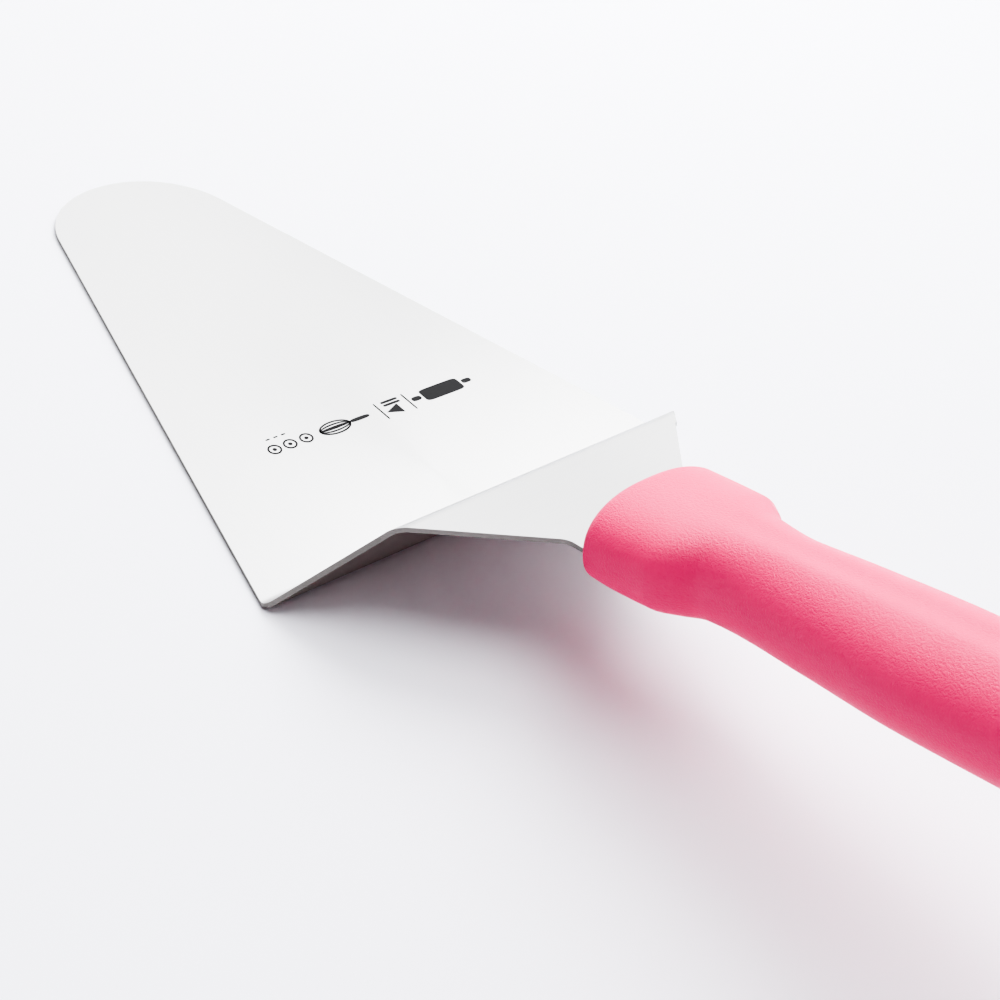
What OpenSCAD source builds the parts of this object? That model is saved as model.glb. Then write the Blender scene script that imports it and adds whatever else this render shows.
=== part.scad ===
// Cranked cake server: one bent steel sheet, with a handle moulded around its tang.
// +X runs from the handle to the tip, +Z is up, and the blade rests on Z = 0.

/* [Blade] */
// Width across the rear corners of the blade
blade_w = 110; // [85:1:150]
// Length of the flat blade, from the lower bend line to the tip
blade_len = 149.5; // [100:0.5:220]
// Radius of the rounded tip
tip_r = 23.5; // [10:0.5:35]
// Radius that breaks the rear corners
corner_r = 1.5; // [0.5:0.1:3]
// Thickness of the steel sheet
sheet_t = 1; // [0.8:0.1:1.5]

/* [Crank] */
// Height of the ridge line above the surface that the blade rests on
ridge_h = 23; // [16:0.5:35]
// Distance from the lower bend line back to the ridge line
ridge_back = 13.7; // [9:0.1:20]
// Width across the ridge
ridge_w = 74; // [55:0.5:80]
// Inner radius of the lower bend
lower_bend_r = 3.5; // [1:0.1:5]
// Inner radius of the upper bend
upper_bend_r = 3.5; // [1:0.1:5]

/* [Web and tang] */
// Rise of the web and the tang towards the handle, in degrees
web_rise = 11.2; // [6:0.1:16]
// Length of the tapered web behind the ridge line
web_len = 23.5; // [15:0.5:40]
// Radius in the corner between the web and the tang
web_fillet_r = 4; // [1:0.5:6]
// Length of the small ear that is left behind the ridge line on the right side
ear_len = 4.4; // [3:0.1:6]
// Width of the step at the end of that ear
ear_step = 0.5; // [0.2:0.1:1]
// Width of the tang where it leaves the web
tang_w = 31.2; // [22:0.1:33]
// Length of the wide part of the tang that is inside the handle
shoulder_in = 8; // [4:0.5:12]
// Width of the narrow tang along the grip
tang_narrow_w = 14; // [11:0.5:17]
// Length of the tang inside the handle
tang_in = 80; // [60:1:100]
// Diameter of the holes that the plastic fills to lock the tang
key_hole_d = 6; // [3:0.5:8]
// Distance between the key holes
key_pitch = 24; // [14:1:26]

/* [Handle] */
// Distance from the end of the web's taper to the front of the handle
handle_gap = 3.4; // [1:0.1:8]
// Length of the handle
handle_len = 130; // [115:1:150]
// Rise of the handle's axis, in degrees
handle_rise = 14; // [10:0.1:16]
// Height of the handle's axis above the middle of the tang, at the handle's front
axis_lift = 0.8; // [0:0.1:1.5]
// Width of the head
head_w = 35.6; // [35:0.1:44]
// Height of the head
head_h = 18.2; // [15:0.1:26]
// Width of the neck behind the head
neck_w = 23; // [21:0.5:30]
// Height of the neck
neck_h = 18.2; // [15:0.1:24]
// Width of the grip where it is fullest
grip_w = 28.8; // [24:0.1:36]
// Height of the grip where it is fullest
grip_h = 20; // [16:0.1:28]
// Width of the waist between the grip and the butt
waist_w = 27.6; // [22:0.1:34]
// Height of that waist
waist_h = 20; // [16:0.1:26]
// Width of the flare at the butt
butt_w = 29.5; // [24:0.1:36]
// Height of that flare
butt_h = 21; // [16:0.1:28]
// Width of the shallow groove along the top of the grip
groove_w = 12; // [6:0.5:16]
// Depth of that groove
groove_depth = 0.7; // [0:0.1:1.5]

/* [Hidden] */
$fn = 64;

// Squareness of the handle's cross-section: 2 is an ellipse
section_power = 2.5;
// Points around one section of the handle, and steps from its front to its butt
ring_points = 40;
ring_steps = 60;
// Distances from the handle's front to the end of its head, its neck, grip, waist and flare
head_end = 16;
neck_at = 27;
grip_at = 68;
waist_at = 100;
butt_at = 118;
// Lengths over which the front rounds in width and in height, and the share left flat there
nose_len = 3.5;
nose_flat = 0.55;
lip_len = 2.5;
lip_flat = 0.8;
// Length of the rounded butt, and the share left flat at its end
butt_len = 12;
butt_flat = 0.3;
// Distances from the handle's front to where the groove starts and where it is full
groove_start = 24;
groove_full = 60;
// Points along a bend, a broken corner and half of the tip
bend_steps = 10;
tip_steps = 24;
// Distance that a cutting tool runs past the sheet
over = 3;
// Distance by which the tool that breaks a corner stands off, so that its cut ends cleanly
relief = 0.02;

// The middle of the flat blade is over the origin
rest_x = blade_len / 2;

// Rise of the riser, turn of the upper bend, and the sheet that each bend takes up
riser_rise = atan2(ridge_h - sheet_t, ridge_back);
riser_len = norm([ridge_back, ridge_h - sheet_t]);
upper_bend = riser_rise - web_rise;
lower_trim = lower_bend_r * tan(riser_rise / 2);
upper_trim = (upper_bend_r + sheet_t) * tan(upper_bend / 2);

// The blade's straight side, from a rear corner to where it meets the tip's circle
tip_x = blade_len - tip_r;
side_turn = atan2(blade_w / 2, tip_x) - asin(tip_r / norm([tip_x, blade_w / 2]));
riser_turn = atan2((blade_w - ridge_w) / 2, ridge_back);

// Distances along the web and tang, measured from the ridge line
web_taper = (ridge_w - tang_w) / 2 / web_len;
handle_at = web_len + handle_gap;
shoulder_at = handle_at + shoulder_in;
narrow_at = shoulder_at + (tang_w - tang_narrow_w) / 2;
tang_end = handle_at + tang_in;

function arc(centre, r, from, to, steps) =
    [for (i = [0 : steps]) let (a = from + (to - from) * i / steps) centre + r * [cos(a), sin(a)]];

// Frames whose X runs up the riser, and along the web and tang, with the sheet below Z = 0
module on_riser() {
    translate([0, 0, sheet_t]) rotate([0, riser_rise, 0]) rotate([0, 0, 180]) children();
}

module on_web() {
    translate([-ridge_back, 0, ridge_h]) rotate([0, web_rise, 0]) rotate([0, 0, 180]) children();
}

// Frame whose X runs along the handle's axis from its front
module on_handle() {
    on_web() translate([handle_at, 0, axis_lift - sheet_t / 2])
        rotate([0, web_rise - handle_rise, 0]) children();
}

// Side view of the sheet: blade, lower bend, riser, upper bend, web and tang
module sheet_profile() {
    along_web = [-cos(web_rise), sin(web_rise)];
    up_from_web = [sin(web_rise), cos(web_rise)];
    ridge = [-ridge_back, ridge_h];
    lower = [lower_trim, sheet_t + lower_bend_r];
    upper = ridge + upper_trim * along_web - (upper_bend_r + sheet_t) * up_from_web;
    web_side = 90 - web_rise;
    riser_side = 90 - riser_rise;
    polygon(concat(
        [[blade_len + over, sheet_t]],
        arc(lower, lower_bend_r, -90, riser_side - 180, bend_steps),
        arc(upper, upper_bend_r + sheet_t, riser_side, web_side, bend_steps),
        [ridge + tang_end * along_web, ridge + tang_end * along_web - sheet_t * up_from_web],
        arc(upper, upper_bend_r, web_side, riser_side, bend_steps),
        arc(lower, lower_bend_r + sheet_t, riser_side - 180, -90, bend_steps),
        [[blade_len + over, 0]]
    ));
}

// Everything in plan that is beside or beyond the blade
module beside_blade() {
    half_rear = blade_w / 2 + 2 * over * tan(side_turn);
    difference() {
        translate([-over, -blade_w]) square([blade_len + 2 * over, 2 * blade_w]);
        polygon(concat(
            [[-2 * over, half_rear]],
            arc([tip_x, 0], tip_r, 90 - side_turn, side_turn - 90, 2 * tip_steps),
            [[-2 * over, -half_rear]]
        ));
    }
}

// Sharp part of a rear corner, outside the radius that breaks it
module corner_waste() {
    inset = corner_r * tan((side_turn + riser_turn) / 2);
    side_out = [sin(side_turn), cos(side_turn)];
    riser_out = [-sin(riser_turn), cos(riser_turn)];
    side_point = [inset * cos(side_turn), blade_w / 2 - inset * sin(side_turn)];
    centre = side_point - (corner_r - relief) * side_out;
    polygon(concat(
        arc(centre, corner_r, 90 - side_turn, 90 + riser_turn, bend_steps),
        [centre + (corner_r + over) * riser_out, centre + (corner_r + over) * (side_out + riser_out)],
        [centre + (corner_r + over) * side_out]
    ));
}

// Everything beside the riser, in the riser's plane
module beside_riser() {
    taper = (blade_w - ridge_w) / 2 / riser_len;
    polygon([
        [-over, blade_w / 2 + over * taper],
        [riser_len + over, ridge_w / 2 - over * taper],
        [riser_len + over, blade_w],
        [-over, blade_w]
    ]);
}

// Everything beside the web and tang, in their plane: the right side keeps a small ear
module beside_web(ear) {
    web_turn = atan(web_taper);
    inset = web_fillet_r * tan(web_turn / 2);
    ear_out = ridge_w / 2 - web_taper * ear_len;
    front = ear
        ? [[0, ridge_w / 2], [ear_len, ear_out + ear_step], [ear_len, ear_out]]
        : [[-upper_trim, ridge_w / 2 + upper_trim * web_taper]];
    polygon(concat(
        front,
        arc([web_len + inset, tang_w / 2 + web_fillet_r], web_fillet_r, -90 - web_turn, -90, bend_steps),
        [
            [shoulder_at, tang_w / 2],
            [narrow_at, tang_narrow_w / 2],
            [tang_end + over, tang_narrow_w / 2],
            [tang_end + over, blade_w],
            [front[0][0], blade_w]
        ]
    ));
}

// A cutting tool through the sheet, on the left side or on the right
module trim(side) {
    mirror([0, side == "left" ? 0 : 1, 0])
        translate([0, 0, -sheet_t - over]) linear_extrude(sheet_t + 2 * over) children();
}

// The bent sheet, with the holes that lock its tang
module sheet() {
    difference() {
        rotate([90, 0, 0]) linear_extrude(blade_w + 2 * over, center = true) sheet_profile();
        translate([0, 0, -over]) linear_extrude(sheet_t + 2 * over) beside_blade();
        for (side = ["left", "right"]) {
            translate([0, 0, sheet_t]) trim(side) corner_waste();
            on_riser() trim(side) beside_riser();
            on_web() mirror([0, 1, 0]) trim(side) beside_web(ear = side == "right");
        }
        for (i = [0 : 2])
            on_web() translate([tang_end - key_pitch * (i + 0.5), 0, -sheet_t - over])
                cylinder(h = sheet_t + 2 * over, d = key_hole_d);
    }
}

function ease(x) = let (c = min(max(x, 0), 1)) c * c * (3 - 2 * c);
function blend(s, from, to, a, b) = a + (b - a) * ease((s - from) / (to - from));

// A size of the handle's section at a distance s from its front
function along(s, head, neck, grip, waist, butt) =
    s < neck_at ? blend(s, head_end, neck_at, head, neck)
    : s < grip_at ? blend(s, neck_at, grip_at, neck, grip)
    : s < waist_at ? blend(s, grip_at, waist_at, grip, waist)
    : blend(s, waist_at, butt_at, waist, butt);

// Share of the section that is left at a share x of the way in from a rounded end
function rounded(x, flat) = flat + (1 - flat) * sqrt(1 - pow(1 - min(max(x, 0), 1), 2));
function butt_share(s) = rounded((handle_len - s) / butt_len, butt_flat);
function half_w(s) =
    along(s, head_w, neck_w, grip_w, waist_w, butt_w) / 2 * rounded(s / nose_len, nose_flat) * butt_share(s);
function half_h(s) =
    along(s, head_h, neck_h, grip_h, waist_h, butt_h) / 2 * rounded(s / lip_len, lip_flat) * butt_share(s);

// Distances of the sections from the front: close together at the two rounded ends
function station(i) = handle_len * (1 - cos(180 * i / ring_steps)) / 2;

function power(c) = sign(c) * pow(abs(c), 2 / section_power);
function groove(s, y) =
    groove_depth * ease((s - groove_start) / (groove_full - groove_start)) * butt_share(s)
    * (abs(y) < groove_w / 2 ? pow(cos(180 * y / groove_w), 2) : 0);
function ring(s) = [
    for (k = [0 : ring_points - 1])
        let (a = 360 * k / ring_points, y = half_w(s) * power(cos(a)), z = half_h(s) * power(sin(a)))
        [s, y, z > 0 ? z - groove(s, y) : z]
];

// The handle's outer shape, lofted through its sections
module handle_form() {
    points = [for (i = [0 : ring_steps]) each ring(station(i))];
    sides = [
        for (i = [0 : ring_steps - 1], k = [0 : ring_points - 1])
            let (
                next = (k + 1) % ring_points,
                a = i * ring_points + k,
                b = i * ring_points + next,
                c = a + ring_points,
                d = b + ring_points
            )
            each [[a, b, d], [a, d, c]]
    ];
    front = [for (k = [ring_points - 1 : -1 : 0]) k];
    butt = [for (k = [0 : ring_points - 1]) ring_steps * ring_points + k];
    polyhedron(points, concat([front, butt], sides));
}

// Stainless sheet: blade, riser, web and the tang that runs on into the handle
module blade() {
    color("gainsboro") translate([-rest_x, 0, 0]) sheet();
}

// Pink handle, moulded around the tang and through its holes
module handle() {
    color("hotpink") translate([-rest_x, 0, 0]) difference() {
        on_handle() handle_form();
        sheet();
    }
}

blade();
handle();
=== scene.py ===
import math

import bmesh
import bpy
from mathutils import Euler, Matrix, Vector


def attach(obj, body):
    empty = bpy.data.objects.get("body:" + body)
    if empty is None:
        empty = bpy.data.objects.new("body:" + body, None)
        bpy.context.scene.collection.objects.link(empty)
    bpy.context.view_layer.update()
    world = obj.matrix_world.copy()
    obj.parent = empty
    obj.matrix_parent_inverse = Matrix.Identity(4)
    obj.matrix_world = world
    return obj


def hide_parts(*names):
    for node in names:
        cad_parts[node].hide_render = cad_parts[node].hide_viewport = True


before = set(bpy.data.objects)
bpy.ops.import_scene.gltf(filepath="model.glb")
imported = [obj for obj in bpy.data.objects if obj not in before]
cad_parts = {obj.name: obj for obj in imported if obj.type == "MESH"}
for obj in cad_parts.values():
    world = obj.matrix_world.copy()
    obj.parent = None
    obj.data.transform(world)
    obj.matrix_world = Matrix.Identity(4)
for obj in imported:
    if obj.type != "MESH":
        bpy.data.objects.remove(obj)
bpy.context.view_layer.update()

mm = 0.001
scene = bpy.context.scene

view = {
    "place": (-0.26382, 0.20411, 0.22403),
    "turn": (51.257, -8.686, -130.947),   # degrees about X, Y and Z
    "lens": 61.74,
    "nearest": 0.01,
    "transform": "AgX",
    "look": "AgX - Very High Contrast",
}

lens = bpy.data.cameras.new("camera")
lens.lens = view["lens"]
lens.clip_start = view["nearest"]
camera = bpy.data.objects.new("camera", lens)
camera.location = view["place"]
camera.rotation_euler = Euler([math.radians(angle) for angle in view["turn"]])
scene.collection.objects.link(camera)
scene.camera = camera
scene.view_settings.view_transform = view["transform"]
scene.view_settings.look = view["look"]
print("camera is set")


# A value in a material, which can be used in sums
class Term:
    def __init__(self, finish, socket):
        self.finish = finish
        self.socket = socket

    def __add__(self, other):
        return self.finish.maths("ADD", self, other)

    def __radd__(self, other):
        return self.finish.maths("ADD", other, self)

    def __sub__(self, other):
        return self.finish.maths("SUBTRACT", self, other)

    def __rsub__(self, other):
        return self.finish.maths("SUBTRACT", other, self)

    def __mul__(self, other):
        return self.finish.maths("MULTIPLY", self, other)

    def __rmul__(self, other):
        return self.finish.maths("MULTIPLY", other, self)


class Finish:
    def __init__(self, name, library=bpy.data.materials):
        self.owner = library.new(name)
        self.owner.use_nodes = True
        self.tree = self.owner.node_tree
        self.tree.nodes.clear()

    # Settings come first, because some of them change which sockets a node has
    def node(self, kind, settings=None, inputs=None, output=0):
        made = self.tree.nodes.new(kind)
        for key, value in (settings or {}).items():
            if key == "stops":
                for element, (place, shade) in zip(made.color_ramp.elements, value):
                    element.position = place
                    element.color = (shade, shade, shade, 1)
            else:
                setattr(made, key, value)
        for key, value in (inputs or {}).items():
            if isinstance(value, Term):
                self.tree.links.new(value.socket, made.inputs[key])
            else:
                made.inputs[key].default_value = value
        return None if output is None else Term(self, made.outputs[output])

    def maths(self, operation, first, second):
        return self.node("ShaderNodeMath", {"operation": operation}, {0: first, 1: second})

    def place(self):
        return self.node("ShaderNodeTexCoord", output="Object")

    def mapped(self, scale):
        return self.node("ShaderNodeMapping", None, {"Vector": self.place(), "Scale": scale})

    def alongX(self):
        return self.node("ShaderNodeSeparateXYZ", None, {"Vector": self.place()}, output="X")

    def noise(self, vector, scale, detail=3.0, roughness=0.55, distortion=0.0):
        return self.node("ShaderNodeTexNoise", None, {
            "Vector": vector,
            "Scale": scale,
            "Detail": detail,
            "Roughness": roughness,
            "Distortion": distortion,
        })

    def ramp(self, value, low, high):
        stops = [(low, 0.0), (high, 1.0)]
        return self.node("ShaderNodeValToRGB", {"stops": stops}, {"Fac": value})

    # Sockets 6 and 7 of a Mix node take its two colours, and output 2 gives the colour
    def between(self, factor, first, second):
        inputs = {0: factor, 6: (*first, 1), 7: (*second, 1)}
        return self.node("ShaderNodeMix", {"data_type": "RGBA"}, inputs, output=2)

    def bump(self, height, distance, strength):
        inputs = {"Height": height, "Distance": distance, "Strength": strength}
        return self.node("ShaderNodeBump", None, inputs)

    def surface(self, inputs):
        shader = self.node("ShaderNodeBsdfPrincipled", None, inputs)
        self.node("ShaderNodeOutputMaterial", {"target": "ALL"}, {"Surface": shader}, output=None)
        return self.owner


light = {
    "tint": (1.0, 1.0, 1.0),
    "allRound": 0.03,
    "studio": 0.35,          # pale walls, seen directly and in the gloss
    "spread": 10.0,          # higher is a smaller glow
    # azimuth and elevation in degrees, strength
    "glows": [
        (95, 6, 0.95),
        (216, 62, 0.70),
        (288, 62, 1.40),
        (270, 36, 1.72),
        (315, 12, 2.70),
        (0, 90, 0.18),
    ],
    # name, direction, distance and diameter in metres, watts, whether gloss shows it
    "boxes": [
        ("overheadBox", (0.0, -0.1, 1.0), 1.0, 0.8, 6.6, True),
        ("farBox", (0.3, -0.6, 0.7), 1.1, 0.6, 3.8, True),
        ("tipBox", (0.7, -0.3, 0.6), 1.1, 0.6, 2.3, True),
        ("tableBox", (0.24, -0.40, 0.5), 0.65, 0.45, 3.6, False),
    ],
}


# Pale walls with a few broad glows
def softSky():
    finish = Finish("softSky", bpy.data.worlds)
    towards = finish.node("ShaderNodeTexCoord", output="Generated")
    path = finish.node("ShaderNodeLightPath", output="Is Diffuse Ray")
    strength = (1 - path) * light["studio"] + light["allRound"]
    for azimuth, elevation, power in light["glows"]:
        turn = Euler((0, math.radians(-elevation), math.radians(azimuth)))
        inputs = {0: towards, 1: turn.to_matrix() @ Vector((1, 0, 0))}
        operation = {"operation": "DOT_PRODUCT"}
        facing = finish.node("ShaderNodeVectorMath", operation, inputs, output="Value")
        glow = finish.maths("POWER", finish.maths("MAXIMUM", facing, 0.0), light["spread"])
        strength = glow * power + strength
    inputs = {"Color": (*light["tint"], 1), "Strength": strength}
    shader = finish.node("ShaderNodeBackground", None, inputs)
    finish.node("ShaderNodeOutputWorld", None, {"Surface": shader}, output=None)
    return finish.owner


scene.world = softSky()
for name, aim, away, size, power, inGloss in light["boxes"]:
    lamp = bpy.data.lights.new(name, "AREA")
    lamp.shape = "DISK"
    lamp.size = size
    lamp.energy = power
    box = bpy.data.objects.new(name, lamp)
    box.location = Vector(aim).normalized() * away
    box.rotation_euler = Vector(aim).to_track_quat("Z", "Y").to_euler()
    box.visible_glossy = inGloss
    scene.collection.objects.link(box)
print("lights are set")

steel = {
    # darkest and lightest colour of each face
    "upper": ((0.43, 0.43, 0.434), (0.46, 0.46, 0.464)),
    # the downward faces are the same steel, made darker and browner: painted shade and a painted
    # reflection of the shaded table
    "under": ((0.38, 0.345, 0.32), (0.44, 0.40, 0.37)),
    "rough": 0.30,
    "roughSpread": 0.06,
    "anisotropic": 0.35,
    "grainAcross": 2600,     # lines in a metre
    "grainAlong": 45,
    "grainDepth": 0.006 * mm,
    "grainStrength": 0.5,
    "cloud": (9, 22, 22),    # faint patches in a metre
    "ridgeX": -88.5 * mm,    # behind it the steel is brushed crosswise
}


def brushedSteel(name, shade):
    finish = Finish(name)
    onWeb = finish.maths("LESS_THAN", finish.alongX(), steel["ridgeX"])
    across, along = steel["grainAcross"], steel["grainAlong"]
    lengthwise = finish.noise(finish.mapped((along, across, along)), 1.0, 4.0, 0.6)
    crosswise = finish.noise(finish.mapped((across, along, along)), 1.0, 4.0, 0.6)
    grain = lengthwise + (crosswise - lengthwise) * onWeb
    cloud = finish.noise(finish.mapped(steel["cloud"]), 1.0, 3.0, 0.5)
    patches = finish.ramp(grain * 0.5 + cloud * 0.5, 0.3, 0.7)
    spread = (grain - 0.5 + (cloud - 0.5)) * steel["roughSpread"]
    return finish.surface({
        "Base Color": finish.between(patches, *steel[shade]),
        "Metallic": 1.0,
        "Roughness": steel["rough"] + spread,
        "Anisotropic": steel["anisotropic"],
        "Normal": finish.bump(grain, steel["grainDepth"], steel["grainStrength"]),
    })


# The cut edges are darker than the faces, partly from their rougher sheared finish and partly
# from painted shade along the edges
shear = {
    "dark": (0.13, 0.12, 0.115),
    "light": (0.28, 0.265, 0.25),
    "rough": 0.38,
    "roughSpread": 0.2,
    "streaks": (900, 900, 9000),
    "depth": 0.04 * mm,
    "strength": 0.7,
}


def shadedShearedEdge():
    finish = Finish("shadedShearedEdge")
    streaks = finish.noise(finish.mapped(shear["streaks"]), 1.0, 4.0, 0.65)
    return finish.surface({
        "Base Color": finish.between(streaks, shear["dark"], shear["light"]),
        "Metallic": 1.0,
        "Roughness": shear["rough"] + streaks * shear["roughSpread"],
        "Normal": finish.bump(streaks, shear["depth"], shear["strength"]),
    })


plastic = {
    "pink": (0.87, 0.034, 0.162),
    "pale": (0.88, 0.042, 0.180),
    "rough": 0.46,
    "roughSpread": 0.12,
    "specular": 0.35,
    "grain": 2600,           # pebbles in a metre
    "patches": 35,
    "grainDepth": 0.06 * mm,
    "grainStrength": 1.0,
}


def grainedPlastic():
    finish = Finish("grainedPlastic")
    place = finish.place()
    wander = finish.noise(place, plastic["grain"] * 0.6, 2.0, 0.5)
    pebbles = finish.noise(place, plastic["grain"], 2.5, 0.5, 0.6)
    fine = finish.noise(place, plastic["grain"] * 3.1, 2.0, 0.5)
    height = finish.ramp(pebbles * 0.75 + wander * 0.25, 0.36, 0.62) + fine * 0.15
    soft = finish.noise(place, plastic["patches"], 2.0, 0.5)
    mottle = finish.ramp(soft * 0.6 + pebbles * 0.4, 0.35, 0.65)
    return finish.surface({
        "Base Color": finish.between(mottle, plastic["pink"], plastic["pale"]),
        "Roughness": plastic["rough"] + (pebbles - 0.5) * plastic["roughSpread"],
        "Specular IOR Level": plastic["specular"],
        "Normal": finish.bump(height, plastic["grainDepth"], plastic["grainStrength"]),
    })


ink = {
    "dark": (0.006, 0.006, 0.007),
    "light": (0.014, 0.014, 0.016),
    "rough": 0.5,
    "roughSpread": 0.25,
    "specular": 0.12,
    "grain": 5200,
    "depth": 0.008 * mm,
    "strength": 0.5,
}


def printInk():
    finish = Finish("printInk")
    worn = finish.noise(finish.place(), ink["grain"], 3.0, 0.6)
    return finish.surface({
        "Base Color": finish.between(worn, ink["dark"], ink["light"]),
        "Roughness": ink["rough"] + (worn - 0.5) * ink["roughSpread"],
        "Specular IOR Level": ink["specular"],
        "Normal": finish.bump(worn, ink["depth"], ink["strength"]),
    })


steelFinish = brushedSteel("brushedSteel", "upper")
# a darker copy of the steel for the downward faces, with painted shade and a painted reflection
# of the shaded table
shadedUnderFinish = brushedSteel("shadedUnderSteel", "under")
edgeFinish = shadedShearedEdge()
pinkFinish = grainedPlastic()
inkFinish = printInk()
print("materials are made")


def pieceFrom(form, name, finishes):
    mesh = bpy.data.meshes.new(name)
    form.to_mesh(mesh)
    form.free()
    for finish in finishes:
        mesh.materials.append(finish)
    piece = bpy.data.objects.new(name, mesh)
    scene.collection.objects.link(piece)
    return piece


# Smooth shading that stays crisp where two faces meet at more than the given angle
def shadeEvenly(piece, angle):
    piece.data.set_sharp_from_angle(angle=math.radians(angle))
    even = piece.modifiers.new("evenShading", "WEIGHTED_NORMAL")
    even.keep_sharp = True


table = {
    "size": 3.0,
    "drop": 0.04 * mm,       # keeps the table just clear of the blade
    "dark": (0.90, 0.905, 0.985),
    "light": (0.91, 0.915, 0.995),
    "rough": 0.75,
    "roughSpread": 0.1,
    "specular": 0.2,
    "mottle": 30,
}


def tableTop():
    finish = Finish("tableTop")
    mottle = finish.noise(finish.place(), table["mottle"], 3.0, 0.5)
    return finish.surface({
        "Base Color": finish.between(mottle, table["dark"], table["light"]),
        "Roughness": table["rough"] + (mottle - 0.5) * table["roughSpread"],
        "Specular IOR Level": table["specular"],
    })


form = bmesh.new()
bmesh.ops.create_grid(form, x_segments=2, y_segments=2, size=table["size"] / 2)
bmesh.ops.translate(form, vec=(0, 0, -table["drop"]), verts=form.verts)
floor = pieceFrom(form, "tableFloor", [tableTop()])
print("table is made")

sheet = {
    "deburr": 0.28 * mm,
    "jogFrom": -86.9 * mm,   # where the riser meets the upper bend
    "jogSide": 38.78 * mm,   # half the sheet's width there
    "flatWithin": 0.4,       # degrees between faces that count as one
    "sharpAbove": 50,        # degrees between two faces that meet at a cut edge
    "smoothBelow": 25,
    "sideways": 0.05,        # a face turned this far to the side is a cut edge
    "upright": 0.3,          # and so is one at the tip that stands this straight
    "same": 0.001 * mm,      # points closer than this are one
}

form = bmesh.new()
form.from_mesh(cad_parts["blade"].data)
bmesh.ops.remove_doubles(form, verts=form.verts, dist=sheet["same"])
flatWithin = math.radians(sheet["flatWithin"])
bmesh.ops.dissolve_limit(form, angle_limit=flatWithin, verts=form.verts, edges=form.edges)

# Closes the small jog where the riser's sides meet the upper bend
for v in form.verts:
    if v.co.x < sheet["jogFrom"] and abs(v.co.y) > sheet["jogSide"]:
        v.co.y = math.copysign(sheet["jogSide"], v.co.y)
bmesh.ops.remove_doubles(form, verts=form.verts, dist=sheet["same"])
bmesh.ops.dissolve_degenerate(form, edges=form.edges, dist=sheet["same"])

sharpAbove = math.radians(sheet["sharpAbove"])
cutEdges = [
    edge for edge in form.edges
    if len(edge.link_faces) == 2 and edge.calc_face_angle(0) > sharpAbove
]
for face in form.faces:
    n = face.normal
    atTip = n.x > 0.5 and abs(n.z) < sheet["upright"]
    isCut = atTip or abs(n.y) > sheet["sideways"]
    face.material_index = 1 if isCut else 2 if n.z < 0 else 0
    face.smooth = True
bmesh.ops.bevel(
    form, geom=cutEdges, offset=sheet["deburr"], offset_type="OFFSET", affect="EDGES",
    segments=3, profile=0.5, material=-1, clamp_overlap=True,
)
bmesh.ops.remove_doubles(form, verts=form.verts, dist=sheet["same"])
bmesh.ops.recalc_face_normals(form, faces=form.faces)
blade = pieceFrom(form, "bladeSheet", [steelFinish, edgeFinish, shadedUnderFinish])
shadeEvenly(blade, sheet["smoothBelow"])
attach(blade, "root")
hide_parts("blade")
print("blade is made")

# Millimetres and degrees, from the front of the head towards the butt
handle = {
    "front": Vector((-114.88, 0, 28.07)),     # where the axis leaves the front
    "rise": 13.97,
    "length": 130.0,
    "around": 96,
    "rings": 150,
    "smoothBelow": 60,
    # 2 is an ellipse, and higher is squarer
    "headPower": 2.5,
    "gripPower": 1.9,        # only the upper half, past the head
    "gripFrom": 22.0,
    "gripFull": 36.0,
    # distance from the front, half width, height above the axis, depth below it
    "sections": [
        (0.0, 17.9, 9.5, 7.6),
        (8.0, 17.8, 9.5, 8.6),
        (17.0, 17.4, 9.5, 8.7),
        (21.0, 14.9, 9.4, 8.8),
        (24.8, 12.0, 9.3, 8.8),
        (31.0, 11.4, 9.4, 8.9),
        (48.0, 12.9, 9.8, 9.1),
        (68.0, 14.3, 10.0, 9.7),
        (92.0, 13.9, 10.1, 10.3),
        (118.0, 14.7, 10.5, 10.5),
        (130.0, 14.7, 10.5, 10.5),
    ],
    # length of each rounded end, and the share of the section left at its very end
    "noseLength": 3.4,
    "noseFlat": 0.55,
    "lipLength": 2.6,
    "lipFlat": 0.80,
    "buttLength": 12.0,
    "buttFlat": 0.30,
    # the hollow along the top
    "grooveWidth": 8.5,
    "grooveDepth": 0.6,
    "grooveFrom": 12.0,
    "grooveFull": 44.0,
}


def ease(start, end, x):
    share = min(max((x - start) / (end - start), 0.0), 1.0)
    return share * share * (3 - 2 * share)


def rounded(x, flat):
    share = min(max(x, 0.0), 1.0)
    return flat + (1 - flat) * math.sqrt(1 - (1 - share) ** 2)


def rootOf(x, power):
    return math.copysign(abs(x) ** (2 / power), x)


# Slope of one column at one row: level at a peak or a hollow, so the curve never overshoots
def slopeAt(row, column):
    rows = handle["sections"]
    if row in (0, len(rows) - 1):
        return 0.0
    before, here, after = rows[row - 1:row + 2]
    left = (here[column] - before[column]) / (here[0] - before[0])
    right = (after[column] - here[column]) / (after[0] - here[0])
    return 2 * left * right / (left + right) if left * right > 0 else 0.0


def sectionAt(s):
    rows = handle["sections"]
    low = max(i for i in range(len(rows) - 1) if i == 0 or rows[i][0] <= s)
    gap = rows[low + 1][0] - rows[low][0]
    t = (s - rows[low][0]) / gap
    values = []
    for column in (1, 2, 3):
        a, b = rows[low][column], rows[low + 1][column]
        out = slopeAt(low, column) * gap
        into = slopeAt(low + 1, column) * gap
        square = (3 * (b - a) - 2 * out - into) * t ** 2
        cube = (2 * (a - b) + out + into) * t ** 3
        values.append(a + out * t + square + cube)
    return values


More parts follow.
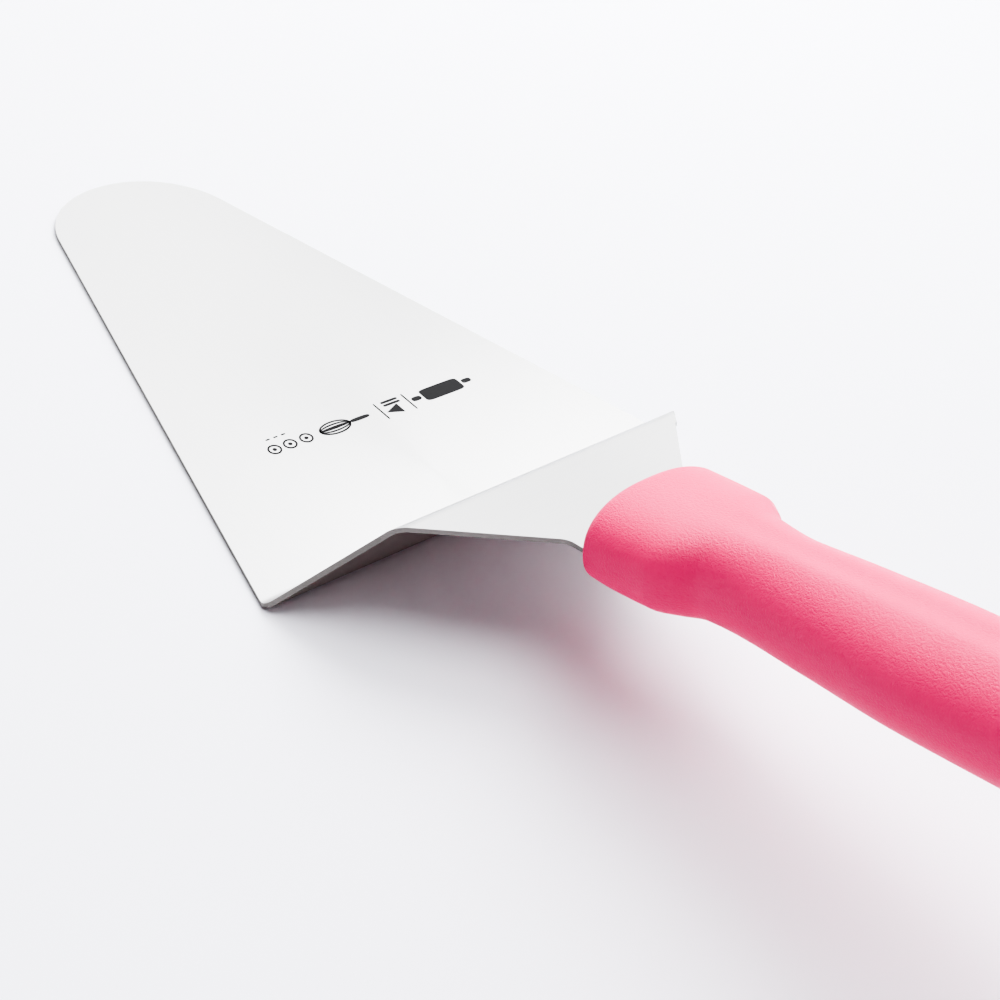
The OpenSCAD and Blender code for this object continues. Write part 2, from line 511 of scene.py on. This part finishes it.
# A point of the skin: the rings are closer together near both ends
def gripPoint(turn, share):
    s = handle["length"] * (1 - math.cos(math.pi * share)) / 2
    wide, above, below = sectionAt(s)
    butt = rounded((handle["length"] - s) / handle["buttLength"], handle["buttFlat"])
    wide *= rounded(s / handle["noseLength"], handle["noseFlat"]) * butt
    lip = rounded(s / handle["lipLength"], handle["lipFlat"]) * butt
    side, up = math.cos(turn), math.sin(turn)
    power = handle["headPower"]
    if up > 0:
        past = ease(handle["gripFrom"], handle["gripFull"], s)
        power += (handle["gripPower"] - power) * past
    y = wide * rootOf(side, power)
    z = (above if up > 0 else below) * lip * rootOf(up, power)
    if z > 0:
        across = min(abs(y) / handle["grooveWidth"], 0.5)
        depth = handle["grooveDepth"] * ease(handle["grooveFrom"], handle["grooveFull"], s)
        z -= depth * butt * math.cos(math.pi * across) ** 2
    return Vector((s, y, z))


rise = math.radians(handle["rise"])
toGrip = Matrix.Translation(handle["front"]) @ Matrix((
    (-math.cos(rise), 0, math.sin(rise), 0),
    (0, -1, 0, 0),
    (math.sin(rise), 0, math.cos(rise), 0),
    (0, 0, 0, 1),
))
form = bmesh.new()
bmesh.ops.create_cone(
    form, cap_ends=True, segments=handle["around"], radius1=1, radius2=1, depth=1,
)
longEdges = [edge for edge in form.edges if abs(edge.verts[0].co.z - edge.verts[1].co.z) > 0.5]
bmesh.ops.subdivide_edges(form, edges=longEdges, cuts=handle["rings"] - 1, use_grid_fill=True)
for v in form.verts:
    point = gripPoint(math.atan2(v.co.y, v.co.x), v.co.z + 0.5)
    v.co = (toGrip @ point) * mm
bmesh.ops.recalc_face_normals(form, faces=form.faces)
for face in form.faces:
    face.smooth = True
grip = pieceFrom(form, "grip", [pinkFinish])
shadeEvenly(grip, handle["smoothBelow"])
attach(grip, "root")
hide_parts("handle")
print("handle is made")

# Plain baking things in a row, with no lettering. Millimetres, and places are X and Y in the row
printRow = {
    "top": 1.0,              # the blade's upper face
    "raised": 0.02,
    "sunk": 0.02,
    "x": -36.6,              # middle of the row
    "lineWidth": 0.42,
    "facets": 40,
}


def roundedPatch(form, at, long, wide, power=5.0):
    segments = printRow["facets"]
    made = bmesh.ops.create_circle(form, cap_ends=True, segments=segments, radius=1)["verts"]
    for v in made:
        v.co.x = at[0] + wide / 2 * rootOf(v.co.x, power)
        v.co.y = at[1] + long / 2 * rootOf(v.co.y, power)


def ringPatch(form, at, long, wide):
    segments = printRow["facets"]
    rims = []
    for inset in (0, printRow["lineWidth"]):
        made = bmesh.ops.create_circle(form, segments=segments, radius=1)["verts"]
        bmesh.ops.scale(form, verts=made, vec=(wide / 2 - inset, long / 2 - inset, 1))
        bmesh.ops.translate(form, verts=made, vec=(*at, 0))
        rims += dict.fromkeys(edge for v in made for edge in v.link_edges)   # each once, in order
    bmesh.ops.bridge_loops(form, edges=rims)


def wedgePatch(form, at, long, wide):
    made = bmesh.ops.create_circle(form, cap_ends=True, segments=3, radius=1)["verts"]
    bmesh.ops.scale(form, verts=made, vec=(wide / math.sqrt(3), long / 1.5, 1))
    bmesh.ops.translate(form, verts=made, vec=(*at, 0))


thin = printRow["lineWidth"]
form = bmesh.new()
roundedPatch(form, (0, -20.4), 11.0, 4.3, 7)            # rolling pin
for end in (-1, 1):
    roundedPatch(form, (0, -20.4 + end * 7.3), 2.6, 1.5, 3)
for rule in (-10.9, -3.1):                              # slice of cake between two rules
    roundedPatch(form, (0, rule), thin, 6.2)
wedgePatch(form, (-0.9, -6.6), 3.9, 3.4)
for layer in (1.35, 2.45):
    roundedPatch(form, (layer, -7.0), 4.6, 0.75)
roundedPatch(form, (0.4, 2.6), 5.2, 1.15, 3)            # whisk
for loop in (4.4, 2.6, 0.9):
    ringPatch(form, (0.4, 9.3), 8.2, loop)
for cookie in (17.0, 21.2, 25.2):                       # cookies
    ringPatch(form, (0.4, cookie), 3.2, 3.2)
    roundedPatch(form, (0.4, cookie), 1.0, 1.0, 2)
for chip in (20.6, 22.6, 24.6):
    roundedPatch(form, (3.9, chip), 1.1, thin, 3)
bmesh.ops.translate(form, verts=form.verts, vec=(printRow["x"], 0, 0))
bmesh.ops.scale(form, verts=form.verts, vec=(mm, mm, mm))
bmesh.ops.recalc_face_normals(form, faces=form.faces)
thickness = (printRow["raised"] + printRow["sunk"]) * mm
bmesh.ops.solidify(form, geom=form.faces[:], thickness=thickness)
lowest = min(v.co.z for v in form.verts)
lift = (printRow["top"] - printRow["sunk"]) * mm - lowest
bmesh.ops.translate(form, verts=form.verts, vec=(0, 0, lift))
bmesh.ops.recalc_face_normals(form, faces=form.faces)
mark = pieceFrom(form, "printedRow", [inkFinish])
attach(mark, "root")
print("print is made")
